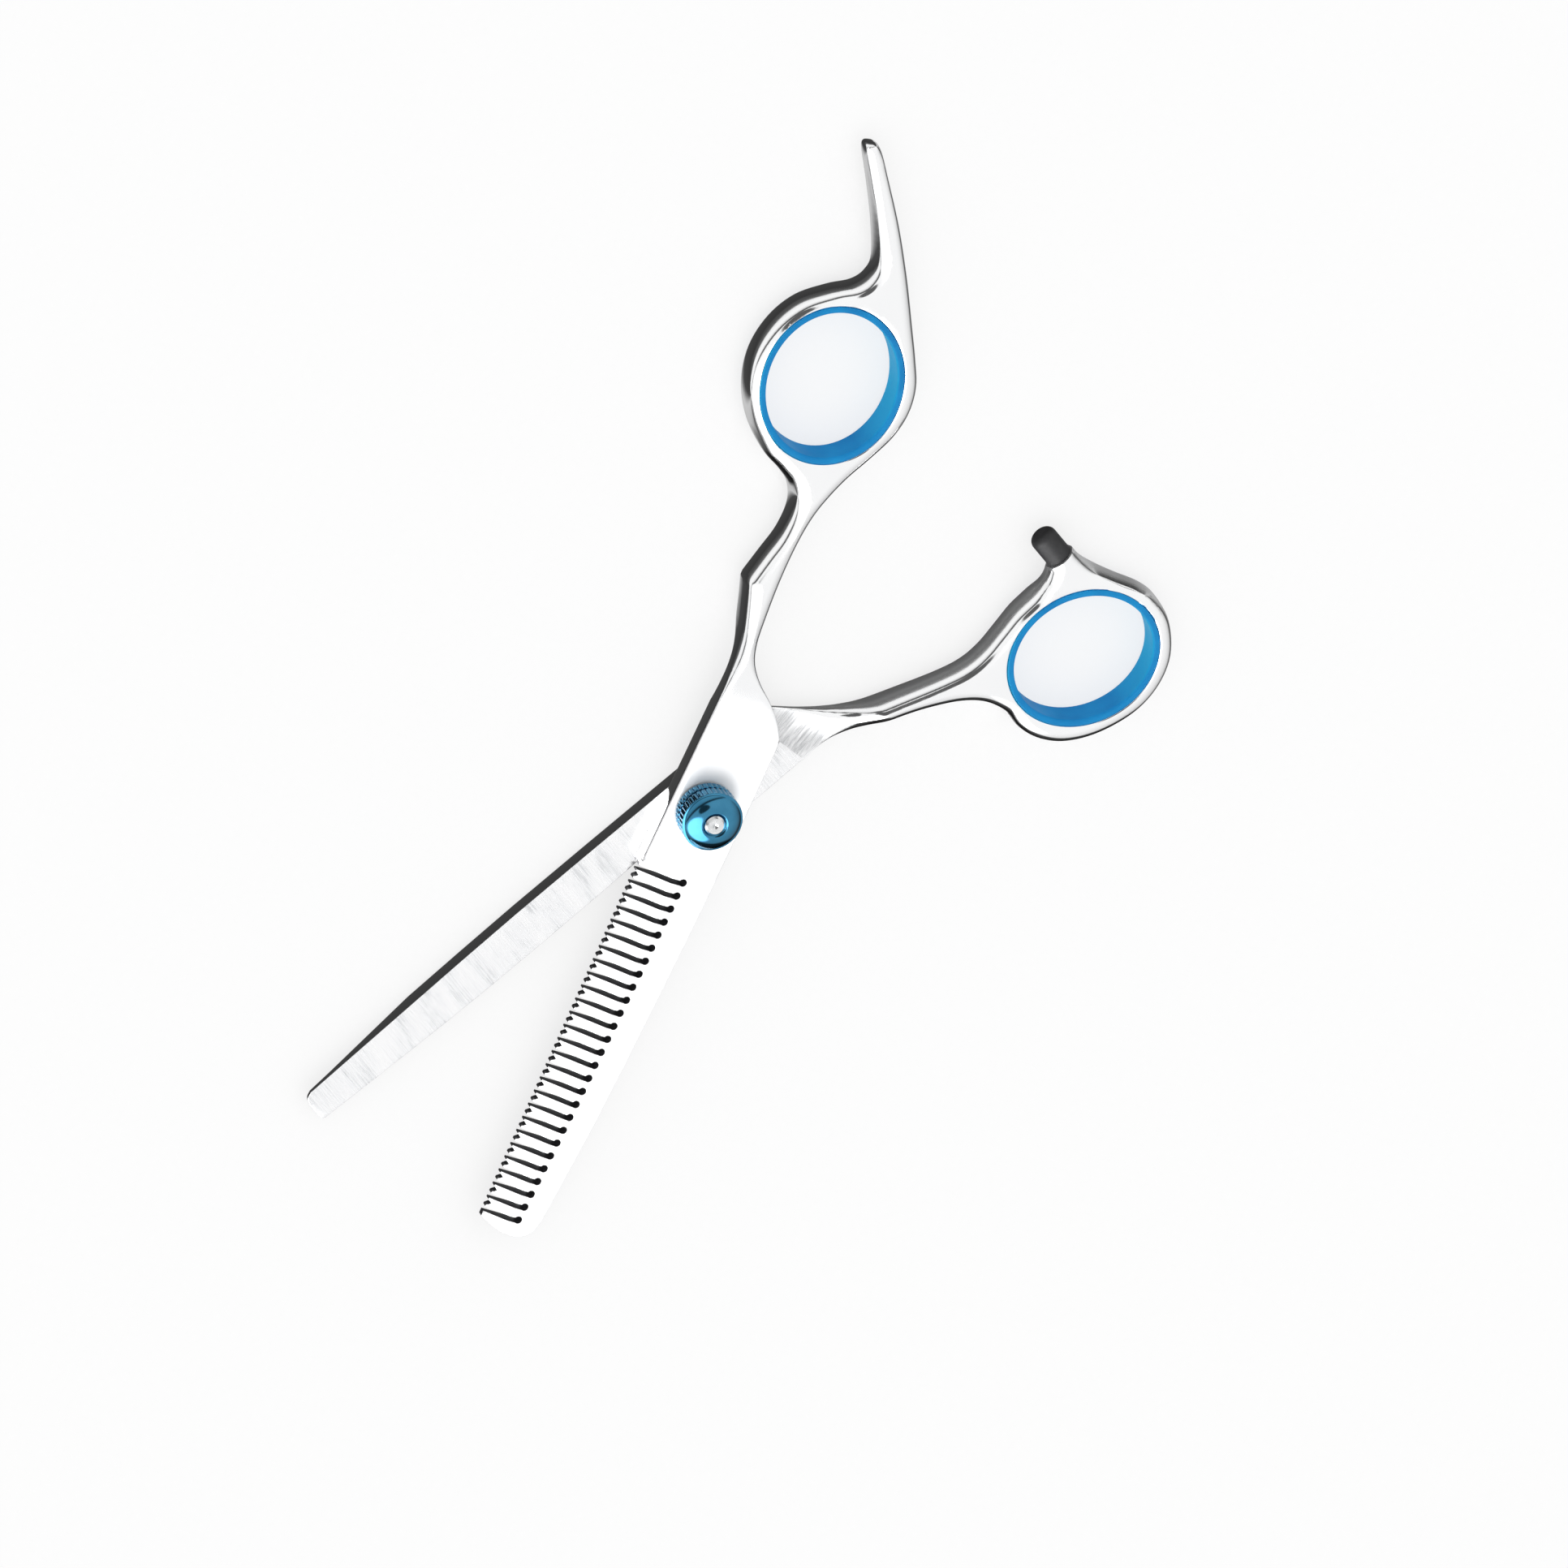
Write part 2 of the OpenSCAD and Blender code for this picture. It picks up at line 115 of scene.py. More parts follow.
FLUTE_R = 14.0
FLUTE_X = -17.6
FLUTE_DEPTH = 0.45
FLUTE_SKEW = math.radians(12)
FLUTE_REACH = 9.0                   # half the length of the line along its edge
FLUTE_SOFT = 0.9                    # rounding between the flute and the shank
FLUTE_END = -8.6                    # last of the fluted steel, from the flute's axis
FLUTE_EDGE = math.sqrt(FLUTE_R ** 2 - (FLUTE_R - FLUTE_DEPTH + RIDE_GAP) ** 2)


def smoothstep(x, start, end):
    t = np.clip((x - start) / (end - start), 0, 1)
    return t * t * (3 - 2 * t)


def blend_values(t, a, b):
    return a + (b - a) * t


# ---- the halves' side views ---------------------------------------------------

def handle_height(x):
    """Half the thickness of the shank, the ring and the tang."""
    return blend_values(smoothstep(x, *TANG_X), SHANK_HALF, TANG_HALF)


def spine_height(x, end_t):
    """Height of a half's outside, before its blade is ground."""
    handle = blend_values(smoothstep(x, *SWELL_X), PLATE_T, handle_height(x))
    return np.where(x < THINNING_X, handle, np.interp(x, [THINNING_X, BLADE_END_X], [PLATE_T, end_t]))


def across_flute(x, y, skew):
    """Distance from the flute's axis, towards the blade."""
    return (x - FLUTE_X) * math.cos(skew) + y * math.sin(skew)


def riding_height(x, y, skew):
    """Height of the side that faces the other half: plate, washer recess, flute and shank."""
    u = across_flute(x, y, skew)
    flute = np.sqrt(np.maximum(FLUTE_R ** 2 - u ** 2, 0)) - (FLUTE_R - FLUTE_DEPTH)
    shank = -handle_height(x)
    gap = flute - shank
    eased = np.maximum(gap + FLUTE_SOFT, 0) ** 2 / (4 * FLUTE_SOFT)
    behind = shank + np.where(gap > FLUTE_SOFT, gap, eased)
    plate = np.maximum(flute, RIDE_GAP)
    plate = np.where(np.hypot(x, y) < WASHER_RECESS_R, WASHER_RECESS_DEPTH, plate)
    return np.where(u > 0, plate, behind)


def ground(height, x, y, start_x, start_y, end):
    """A blade's ground face, which falls from start_y to its end: a y and a height."""
    end_y, end_t = end
    bevel = PLATE_T + (end_t - PLATE_T) * (y - start_y) / (end_y - start_y)
    cut = np.clip((x - start_x) / HEEL_STEP, 0, 1)
    return blend_values(cut, height, np.minimum(height, bevel))


def comb_outside(x, y):
    return ground(spine_height(x, COMB_END_T), x, y, COMB_HEEL_X, COMB_GROUND_Y, COMB_TIPS)


def blade_outside(x, y):
    height = ground(spine_height(x, BLADE_END_T), x, y, BLADE_HEEL_X, BLADE_GROUND_Y, BLADE_CUTS)
    return np.where(np.hypot(x, y) < HEAD_RECESS_R, PLATE_T - HEAD_RECESS_DEPTH, height)


# ---- outlines from the CAD ----------------------------------------------------

def section(node, level, turn):
    """Closed outlines of a CAD node at a level, as arrays of points, turned about the pivot."""
    bm = bmesh.new()
    bm.from_mesh(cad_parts[node].data)
    bmesh.ops.remove_doubles(bm, verts=bm.verts, dist=WELD)
    parts = bm.verts[:] + bm.edges[:] + bm.faces[:]
    bmesh.ops.bisect_plane(bm, geom=parts, plane_co=(0, 0, level * MM), plane_no=(0, 0, 1),
                           clear_inner=True, clear_outer=True)
    bmesh.ops.remove_doubles(bm, verts=bm.verts, dist=WELD)
    rotation = Matrix.Rotation(turn, 4, "Z")
    loops = []
    left = dict.fromkeys(bm.verts)      # unlike a set, it has the same order in every run
    while left:
        vert = next(iter(left))
        loop = []
        while vert:
            del left[vert]
            loop.append(vert)
            vert = next((e.other_vert(vert) for e in vert.link_edges if e.other_vert(vert) in left), None)
        points = np.array([(rotation @ v.co)[:2] for v in loop]) / MM
        if len(points) > 3:
            loops.append(points if signed_area(points) > 0 else points[::-1])
    bm.free()
    return [without_needless(loop) for loop in loops]


def signed_area(p):
    q = np.roll(p, -1, axis=0)
    return (p[:, 0] * q[:, 1] - q[:, 0] * p[:, 1]).sum() / 2


def without_needless(loop, off=0.001):
    """The loop without the points that lie on the straight line between their neighbours."""
    kept = list(loop)
    i = 0
    while i < len(kept) and len(kept) > 4:
        a, b, c = kept[i - 1], kept[i], kept[(i + 1) % len(kept)]
        chord = c - a
        length = max(np.hypot(*chord), 1e-9)
        if abs(chord[0] * (b - a)[1] - chord[1] * (b - a)[0]) / length < off:
            kept.pop(i)
        else:
            i += 1
    return np.array(kept)


def subdivided(loop, step):
    """The loop with its long sides cut into pieces no longer than step."""
    out = []
    for a, b in zip(loop, np.roll(loop, -1, axis=0)):
        count = max(1, math.ceil(np.hypot(*(b - a)) / step))
        out += [a + (b - a) * k / count for k in range(count)]
    return np.array(out)


def spliced(behind, ahead, x):
    """One loop: the first loop's points up to x and the second's from there on."""
    runs = []
    for loop, keep in ((behind, behind[:, 0] <= x), (ahead, ahead[:, 0] > x)):
        first = next(i for i in range(len(loop)) if keep[i] and not keep[i - 1])
        runs.append(np.roll(loop, -first, axis=0)[:keep.sum()])
    return np.concatenate(runs)


def inside_loops(points, loops):
    """Which points lie inside the outer loop and outside the holes."""
    inside = np.zeros(len(points), bool)
    for loop in loops:
        ax, ay = loop[:, 0], loop[:, 1]
        bx, by = np.roll(ax, -1), np.roll(ay, -1)
        for start in range(0, len(points), CHUNK):
            x = points[start:start + CHUNK, 0, None]
            y = points[start:start + CHUNK, 1, None]
            spans = (ay > y) != (by > y)
            with np.errstate(divide="ignore", invalid="ignore"):
                left = x < (bx - ax) * (y - ay) / (by - ay) + ax
            inside[start:start + CHUNK] ^= (spans & left).sum(1) % 2 == 1
    return inside


class Rim:
    """Some sides of a loop, each with its rounding."""

    def __init__(self, loop, rounding, chosen):
        self.a = loop[chosen]
        self.b = np.roll(loop, -1, axis=0)[chosen]
        self.round_a = rounding[chosen]
        self.round_b = np.roll(rounding, -1, axis=0)[chosen]

    def nearest(self, points):
        """Each point's distance to the rim, and the rounding there."""
        along = self.b - self.a
        squared = np.maximum((along ** 2).sum(1), 1e-12)
        distance = np.empty(len(points))
        rounding = np.empty((len(points), 4))
        for start in range(0, len(points), CHUNK):
            part = points[start:start + CHUNK, None, :]
            t = np.clip(((part - self.a) * along).sum(2) / squared, 0, 1)
            away = part - self.a - t[..., None] * along
            gap = np.hypot(away[..., 0], away[..., 1])
            best = gap.argmin(1)
            row = np.arange(len(best))
            distance[start:start + CHUNK] = gap[row, best]
            rounding[start:start + CHUNK] = blend_values(
                t[row, best][:, None], self.round_a[best], self.round_b[best])
        return distance, rounding


def rounding_drop(distance, width, depth):
    """How far a quarter ellipse lies below the flat, by its distance from the rim."""
    t = np.clip(distance / width, 0, 1)
    return depth * (1 - np.sqrt(np.maximum(1 - (1 - t) ** 2, 0)))


def nearest_of(rims, points):
    """Each point's distance to the nearest of the rims."""
    return np.min([rim.nearest(points)[0] for rim in rims], axis=0)


def outward(loop):
    """Unit normals that point out of a loop, one for each of its sides."""
    side = np.roll(loop, -1, axis=0) - loop
    side /= np.maximum(np.hypot(side[:, 0], side[:, 1]), 1e-9)[:, None]
    return np.stack([side[:, 1], -side[:, 0]], axis=1)


def smoothed(values, reach=6):
    """Running mean round a loop."""
    return np.mean([np.roll(values, k) for k in range(-reach, reach + 1)], axis=0)


def loop_rims(loop, rounding, half, hole):
    """A hole is one rim; the outer loop has a low-y and a high-y rim, without its open end."""
    if hole:
        return [Rim(loop, rounding, np.ones(len(loop), bool))]
    first, last = loop[:, 0].argmin(), loop[:, 0].argmax()
    front = (np.arange(len(loop)) - first) % len(loop) < (last - first) % len(loop)
    closed = ~half["open_end"]((loop + np.roll(loop, -1, axis=0)) / 2)
    return [Rim(loop, rounding, front & closed), Rim(loop, rounding, ~front & closed)]


def drops(points, rims):
    """The rounding below each point's two heights, and its distance to the nearest rim."""
    outer = np.zeros(len(points))
    riding = np.zeros(len(points))
    nearest = np.full(len(points), np.inf)
    for rim in rims:
        distance, kinds = rim.nearest(points)
        outer = np.maximum(outer, rounding_drop(distance, kinds[:, 0], kinds[:, 1]))
        riding = np.maximum(riding, rounding_drop(distance, kinds[:, 2], kinds[:, 3]))
        nearest = np.minimum(nearest, distance)
    return outer, riding, nearest


def offsets(width):
    """Distances from the rim at which a rounding of this width needs points."""
    if width < 0.5:
        return [width * k for k in (0.13, 0.5, 1.0)]
    return [width * (1 - math.cos(math.radians(90 * k / ROWS))) for k in range(1, ROWS + 1)]


def inward_rows(loop, widths, side):
    """Rows of points beside a loop, closer together near it. A gap in a row is None."""
    ahead = np.roll(loop, -1, axis=0) - loop
    ahead /= np.hypot(ahead[:, 0], ahead[:, 1])[:, None]
    behind = np.roll(ahead, 1, axis=0)
    smooth = (ahead * behind).sum(1) > math.cos(math.radians(CORNER_DEG))
    both = ahead + behind
    both /= np.maximum(np.hypot(both[:, 0], both[:, 1]), 1e-6)[:, None]
    inward = np.stack([-both[:, 1], both[:, 0]], axis=1) * side
    steps = [offsets(width) for width in widths]
    return [[p + n * s[k] if ok and k < len(s) else None
             for p, n, s, ok in zip(loop, inward, steps, smooth)] for k in range(ROWS)]


def triangulated(points, edges, loops):
    """Triangles between the loops that keep the given edges."""
    found = delaunay_2d_cdt([Vector(p) for p in points], edges, [], 0, 1e-5)
    flat = np.array([tuple(v) for v in found[0]])
    faces = np.array(found[2])
    faces = faces[inside_loops(flat[faces].mean(1), loops)]
    used = np.unique(faces)
    index = np.full(len(flat), -1)
    index[used] = np.arange(len(used))
    return flat[used], index[faces]


class Layout:
    """Points and edges that a triangulation has to keep."""

    def __init__(self):
        self.points = []
        self.edges = []

    def add_line(self, points, closed=False):
        first = len(self.points)
        self.points.extend(points)
        self.edges.extend((first + i, first + i + 1) for i in range(len(points) - 1))
        if closed:
            self.edges.append((first + len(points) - 1, first))

    def add_row(self, places, points, count):
        """Points beside some places of a loop with count places, joined where places are neighbours."""
        index = {place: len(self.points) + n for n, place in enumerate(places)}
        self.points.extend(points)
        self.edges.extend((v, index[(place + 1) % count]) for place, v in index.items()
                          if (place + 1) % count in index)

    def fill(self, points, gap):
        """Adds the points that have no earlier point within the gap."""
        taken = KDTree(len(self.points))
        for index, point in enumerate(self.points):
            taken.insert((*point, 0), index)
        taken.balance()
        self.points.extend(p for p in points if taken.find((*p, 0))[2] > gap)


def add_rows(layout, loop, widths, side, own_rims, rims, loops):
    """Rows beside a loop, without the points that run into another rim or another part of this one."""
    for row in inward_rows(loop, widths, side):
        places = np.array([i for i, p in enumerate(row) if p is not None])
        if not len(places):
            continue
        points = np.array([row[i] for i in places])
        reach = np.hypot(*(points - loop[places]).T)
        own_clear = nearest_of(own_rims, points) > ROW_SHARE * reach
        all_clear = nearest_of(rims, points) > ROW_SHARE * np.minimum(reach, ROW_GAP)
        good = inside_loops(points, loops) & own_clear & all_clear
        layout.add_row(places[good].tolist(), points[good], len(loop))


def triangle_grid(loops, rims, grid):
    """Points of a triangular grid between the loops, away from the rims."""
    low, high = loops[0].min(0), loops[0].max(0)
    rows = np.arange(low[1], high[1], grid * math.sqrt(3) / 2)
    field = np.array([(x + (j % 2) * grid / 2, y) for j, y in enumerate(rows)
                      for x in np.arange(low[0], high[0], grid)])
    field = field[inside_loops(field, loops)]
    return field[nearest_of(rims, field) > 0.3 * grid]


def height_field(half, loops):
    """Flat points and triangles of a half, its two heights, and which points are off the rounding."""
    roundings = [half["rounding"](loop, k > 0) for k, loop in enumerate(loops)]
    rims_of = [loop_rims(loop, rounding, half, k > 0)
               for k, (loop, rounding) in enumerate(zip(loops, roundings))]
    rims = [rim for group in rims_of for rim in group]
    layout = Layout()
    for loop in loops:
        layout.add_line(loop, closed=True)
    for crease in half["creases"]:
        layout.add_line(crease)
    for k, loop in enumerate(loops):
        for widths in (roundings[k][:, 0], roundings[k][:, 2]):
            add_rows(layout, loop, widths, -1 if k else 1, rims_of[k], rims, loops)
    layout.fill(triangle_grid(loops, rims, GRID), 0.5 * GRID)

    flat, faces = triangulated(layout.points, layout.edges, loops)
    outer_drop, riding_drop, distance = drops(flat, rims)
    outer = half["outside"](*flat.T) - outer_drop
    riding = half["riding"](*flat.T) + riding_drop
    middle = (outer + riding) / 2
    half_wall = np.maximum(outer - riding, MIN_WALL) / 2
    inner = (distance > OFF_RIM) & (riding_drop < OFF_DROP)
    return flat, faces, middle + half_wall, middle - half_wall, inner


def boundary(faces):
    """Directed edges that only one triangle has."""
    directed = {(f[i], f[(i + 1) % 3]) for f in faces.tolist() for i in range(3)}
    return [(a, b) for a, b in directed if (b, a) not in directed]


def new_object(name, verts, faces, materials, slots=None):
    mesh = bpy.data.meshes.new(name)
    mesh.from_pydata([Vector(v) * MM for v in verts], [], faces)
    for material in materials:
        mesh.materials.append(material)
    if slots is not None:
        mesh.polygons.foreach_set("material_index", slots)
    mesh.update()
    piece = bpy.data.objects.new(name, mesh)
    bpy.context.scene.collection.objects.link(piece)
    return piece


# ---- the two halves -----------------------------------------------------------

POLISHED, GROUND, FLUTED, CUT = range(4)

# The heading, in each half's own frame, that the broad rounding faces
FINGER_FRONT = math.radians(-120)
THUMB_FRONT = math.radians(-95)
FRONT_SPREAD = 0.35     # how gradually the rounding changes as the rim turns away from that heading

# Roundings as (width on the ring and shank, width on the tang, height)
UPPER_FRONT = (2.5, 1.6, 3.2)
UPPER_BACK = (1.9, 1.4, 1.5)
LOWER_FRONT = (1.3, 1.2, 1.3)
LOWER_BACK = (1.7, 1.4, 2.2)

# Where one rounding passes into the next
TANG_ROOT_X = (-82, -93)
SHANK_ROOT_X = (-17, -27)
PLATE_ROOT_X = (-5, -11)
COMB_ROOT_X = (COMB_HEEL_X - 1.3, COMB_HEEL_X - 0.3)
BLADE_ROOT_X = (5, 9)
BOSS_ROOT_X = (-55, -58)
BOSS_ROOT_Y = (10, 6)
BOSS_END_X = -59
SHOULDER_Y = -4

# Roundings as (width, height)
BOSS_ROUNDING = (2.2, 2.3)
THUMB_SHANK_ROOT = (2.9, 2.6)
SPINE_ROUNDING = 0.8
FRONT_EDGE = 0.95
BACK_EDGE = 0.2
EDGE_DEPTH = 0.85       # height of the plate's edge rounding for each millimetre of its width
BLADE_EDGE = 0.08
GROUND_EDGE = 0.05
RIDING_EDGE = 0.06
RING_HOLE_EDGE = 0.35
PIVOT_HOLE_EDGE = 0.05


def handle_rounding(loop, front):
    """Rounding of the shank, ring and tang: broad on the upper front, fuller below at the back."""
    x = loop[:, 0]
    sides = outward(loop)
    heading = np.array([math.cos(front), math.sin(front)])
    facing = (sides + np.roll(sides, 1, axis=0)) @ heading / 2
    broad = smoothed(smoothstep(facing, -FRONT_SPREAD, FRONT_SPREAD))
    tang = smoothstep(x, *TANG_ROOT_X)
    thin = handle_height(x) / SHANK_HALF

    def rounding(at_back, at_front):
        width = blend_values(broad, blend_values(tang, *at_back[:2]), blend_values(tang, *at_front[:2]))
        return width, blend_values(broad, at_back[2], at_front[2]) * thin

    return *rounding(UPPER_BACK, UPPER_FRONT), *rounding(LOWER_BACK, LOWER_FRONT)


def columns(*values):
    return np.stack(np.broadcast_arrays(*values), axis=1)


def hole_rounding(loop):
    in_ring = np.hypot(*loop.mean(0)) > COMB_HEEL_X
    return np.full((len(loop), 4), RING_HOLE_EDGE if in_ring else PIVOT_HOLE_EDGE)


def finger_rounding(loop, hole):
    """Outside width and height, then riding side width and height, at each point."""
    if hole:
        return hole_rounding(loop)
    x, y = loop.T
    upper_w, upper_h, lower_w, lower_h = handle_rounding(loop, FINGER_FRONT)
    shank = smoothstep(x, *SHANK_ROOT_X)
    blade = smoothstep(x, *COMB_ROOT_X)
    edge = np.where(y < SHOULDER_Y, FRONT_EDGE, BACK_EDGE)
    outer_w = blend_values(blade, blend_values(shank, edge, upper_w), BLADE_EDGE)
    outer_h = blend_values(blade, blend_values(shank, edge * EDGE_DEPTH, upper_h), BLADE_EDGE)
    riding_w = blend_values(shank, RIDING_EDGE, lower_w)
    riding_h = blend_values(shank, RIDING_EDGE, lower_h)
    return columns(outer_w, outer_h, riding_w, riding_h)


def thumb_rounding(loop, hole):
    """The same for the thumb half, whose outside lies underneath."""
    if hole:
        return hole_rounding(loop)
    x, y = loop.T
    boss = smoothstep(y, *BOSS_ROOT_Y) * smoothstep(x, *BOSS_ROOT_X)
    upper_w, upper_h, lower_w, lower_h = [
        blend_values(boss, values, size)
        for values, size in zip(handle_rounding(loop, THUMB_FRONT), BOSS_ROUNDING * 2)]
    shank = smoothstep(x, *SHANK_ROOT_X)
    root = smoothstep(x, *PLATE_ROOT_X)
    blade = smoothstep(x, *BLADE_ROOT_X)
    spine = y < 0
    blade_w = np.where(spine, SPINE_ROUNDING, GROUND_EDGE)
    spine_h = np.minimum(SPINE_ROUNDING, spine_height(x, BLADE_END_T) / 2)
    blade_h = np.where(spine, spine_h, GROUND_EDGE)
    plate_w = blend_values(root, SPINE_ROUNDING, THUMB_SHANK_ROOT[0])
    plate_h = blend_values(root, SPINE_ROUNDING, THUMB_SHANK_ROOT[1])
    outer_w = blend_values(blade, blend_values(shank, plate_w, lower_w), blade_w)
    outer_h = blend_values(blade, blend_values(shank, plate_h, lower_h), blade_h)
    riding_w = blend_values(shank, RIDING_EDGE, upper_w)
    riding_h = blend_values(shank, RIDING_EDGE, upper_h)
    return columns(outer_w, outer_h, riding_w, riding_h)


def line(start, end, step=0.6):
    count = math.ceil(math.dist(start, end) / step)
    return [np.array(start) + (np.array(end) - np.array(start)) * k / count for k in range(count + 1)]


def circle(r, count=64):
    turns = [2 * math.pi * k / count for k in range(count + 1)]
    return [np.array([r * math.cos(a), r * math.sin(a)]) for a in turns]


def flute_line(skew):
    """The edge between the flute and the flat riding face."""
    foot = np.array([FLUTE_X + FLUTE_EDGE * math.cos(skew), FLUTE_EDGE * math.sin(skew)])
    reach = FLUTE_REACH * np.array([-math.sin(skew), math.cos(skew)])
    return line(foot - reach, foot + reach, 0.4)


def heel_lines(x, low, high):
    """Both sides of the small step where the ground face starts."""
    return [line((x, low), (x, high), 0.4), line((x + HEEL_STEP, low), (x + HEEL_STEP, high), 0.4)]


def recess_lines(r):
    return [circle(r - 0.01), circle(r + 0.01)]


# Each half: the angle its own frame is turned by, the side of the ride plane it lies on, the lowest x
# and highest y of its cut walls, its roundings, which sides of its outline aren't rounded, its two
# heights, its flute's skew and the lines that its triangles have to follow
FINGER = {
    "turn": 0.0,
    "side": 1,
    "cut_area": TEETH_AREA,
    "rounding": finger_rounding,
    "open_end": lambda middles: np.zeros(len(middles), bool),
    "outside": comb_outside,
    "riding": lambda x, y: riding_height(x, y, -FLUTE_SKEW),
    "skew": -FLUTE_SKEW,
    "creases": [line((COMB_HEEL_X, COMB_GROUND_Y), (BLADE_END_X, COMB_GROUND_Y)),
                flute_line(-FLUTE_SKEW), *heel_lines(COMB_HEEL_X, COMB_HEEL_Y, COMB_GROUND_Y),
                *recess_lines(WASHER_RECESS_R)],
}

THUMB = {
    "turn": OPEN_ANGLE,
    "side": -1,
    "cut_area": (math.inf, 0.0),
    "rounding": thumb_rounding,
    "open_end": lambda middles: (np.abs(middles[:, 1] - BOSS_Y) < 0.02) & (middles[:, 0] < BOSS_END_X),
    "outside": blade_outside,
    "riding": lambda x, y: riding_height(x, y, FLUTE_SKEW),
    "skew": FLUTE_SKEW,
    "creases": [line((BLADE_HEEL_X, BLADE_GROUND_Y), (BLADE_END_X, BLADE_GROUND_Y)),
                flute_line(FLUTE_SKEW), *heel_lines(BLADE_HEEL_X, BLADE_GROUND_Y, BLADE_HEEL_Y),
                *recess_lines(WASHER_RECESS_R), *recess_lines(HEAD_RECESS_R)],
}


# Levels of the outlines from the ride plane, and where the plain blade's takes over
FINGER_LEVEL = 1.0
HANDLE_LEVEL = -1.2
BLADE_LEVEL = -0.1
INSERT_LEVEL = 1.5
TAKEOVER_X = 7.0


def by_area(loops):
    return sorted(loops, key=signed_area, reverse=True)


def half_loops(node, half):
    """A half's outline and holes. The plain blade is widest where it rides, so its part is cut there."""
    if half is FINGER:
        return by_area(section(node, RIDE_Z + FINGER_LEVEL, 0.0))
    handle = by_area(section(node, RIDE_Z + HANDLE_LEVEL, half["turn"]))
    blade = max(section(node, RIDE_Z + BLADE_LEVEL, half["turn"]), key=lambda loop: loop[:, 0].max())
    return [spliced(handle[0], blade, TAKEOVER_X)] + handle[1:]


def shade(piece, sharp_deg=32):
    piece.data.shade_smooth()
    piece.data.set_sharp_from_angle(angle=math.radians(sharp_deg))


def riding_kinds(half, flat, faces, inner):
    """The steel of each triangle on the riding side."""
    u = across_flute(*flat[faces].mean(1).T, half["skew"])
    kinds = np.where((u > FLUTE_END) & inner[faces].all(1), FLUTED, POLISHED)
    return np.where(u > FLUTE_EDGE, GROUND, kinds)


def wall_kinds(half, flat, walls):
    """The steel of each wall: cut between the teeth, polished elsewhere."""
    x, y = flat[[(a, b) for b, a, _, _ in walls]].mean(1).T
    low_x, high_y = half["cut_area"]
    return np.where((x > low_x) & (y < high_y), CUT, POLISHED)


def build_half(name, node, half, materials):
    loops = [subdivided(loop, RIM_STEP) for loop in half_loops(node, half)]
    flat, faces, outer, riding, inner = height_field(half, loops)
    turn = Matrix.Rotation(-half["turn"], 2)
    turned = flat @ np.array(turn).T
    upper = np.column_stack([turned, RIDE_Z + half["side"] * outer])
    lower = np.column_stack([turned, RIDE_Z + half["side"] * riding])
    count = len(flat)
    fronts = [tuple(f) for f in faces.tolist()]
    backs = [(c + count, b + count, a + count) for a, b, c in fronts]
    walls = [(b, a, a + count, b + count) for a, b in boundary(faces)]
    slots = np.concatenate([np.full(len(fronts), POLISHED), riding_kinds(half, flat, faces, inner),
                            wall_kinds(half, flat, walls)])
    piece = new_object(name, np.concatenate([upper, lower]), fronts + backs + walls, materials, slots)
    if half["side"] < 0:
        piece.data.flip_normals()
    shade(piece)
    return piece


# ---- lathed and swept pieces --------------------------------------------------

def arc(centre, radius, start_deg, end_deg, count=6):
    """Points of an arc in a profile; radius is one number or a pair for an ellipse."""
    rx, ry = radius if isinstance(radius, tuple) else (radius, radius)
    turns = [math.radians(start_deg + (end_deg - start_deg) * k / count) for k in range(count + 1)]
    return [(centre[0] + rx * math.cos(a), centre[1] + ry * math.sin(a)) for a in turns]


def rings_to_object(name, rings, materials, closed_profile, cap_ends=False):
    """Quads between rings of equal length, and caps on the first and last ring."""
    count = len(rings[0])
    verts = [v for ring in rings for v in ring]
    pairs = list(zip(range(len(rings)), list(range(1, len(rings))) + [0]))
    if not closed_profile:
        pairs.pop()
    faces = [(i * count + k, i * count + (k + 1) % count, j * count + (k + 1) % count, j * count + k)
             for i, j in pairs for k in range(count)]
    if cap_ends:
        faces.append(tuple(range(count))[::-1])
        faces.append(tuple((len(rings) - 1) * count + k for k in range(count)))
    piece = new_object(name, verts, faces, materials)
    bm = bmesh.new()
    bm.from_mesh(piece.data)
    bmesh.ops.recalc_face_normals(bm, faces=bm.faces)
    bm.to_mesh(piece.data)
    bm.free()
    return piece


def dense(profile, step):
    """The profile with its long sides divided."""
    out = [profile[0]]
    for a, b in zip(profile, profile[1:]):
        count = max(1, math.ceil(math.dist(a, b) / step))
        out += [(a[0] + (b[0] - a[0]) * k / count, a[1] + (b[1] - a[1]) * k / count)
                for k in range(1, count + 1)]
    return out


KNURLS = 36
KNURL_DEPTH = 0.22
DIAL_BANDS = (0.27, 0.35, 0.7)      # lower band's top, upper band's foot and top, as shares of the height
DIAL_MOUTH = 0.34                   # chamfer round the bolt
DOME_STEPS = 20


def dome(top_r, top_z, rim_r, rim_z, steep_deg=52, flat_deg=6):
    """Profile of a dome whose slope grows evenly from its flat top to its steep rim."""
    shares = [k / DOME_STEPS for k in range(DOME_STEPS + 1)]
    slopes = [math.radians(flat_deg + (steep_deg - flat_deg) * t) for t in shares]
    fall = [0.0]
    for a, b in zip(slopes, slopes[1:]):
        fall.append(fall[-1] + math.tan((a + b) / 2))
    return [(top_r + (rim_r - top_r) * t, top_z - (top_z - rim_z) * f / fall[-1])
            for t, f in zip(shares, fall)]


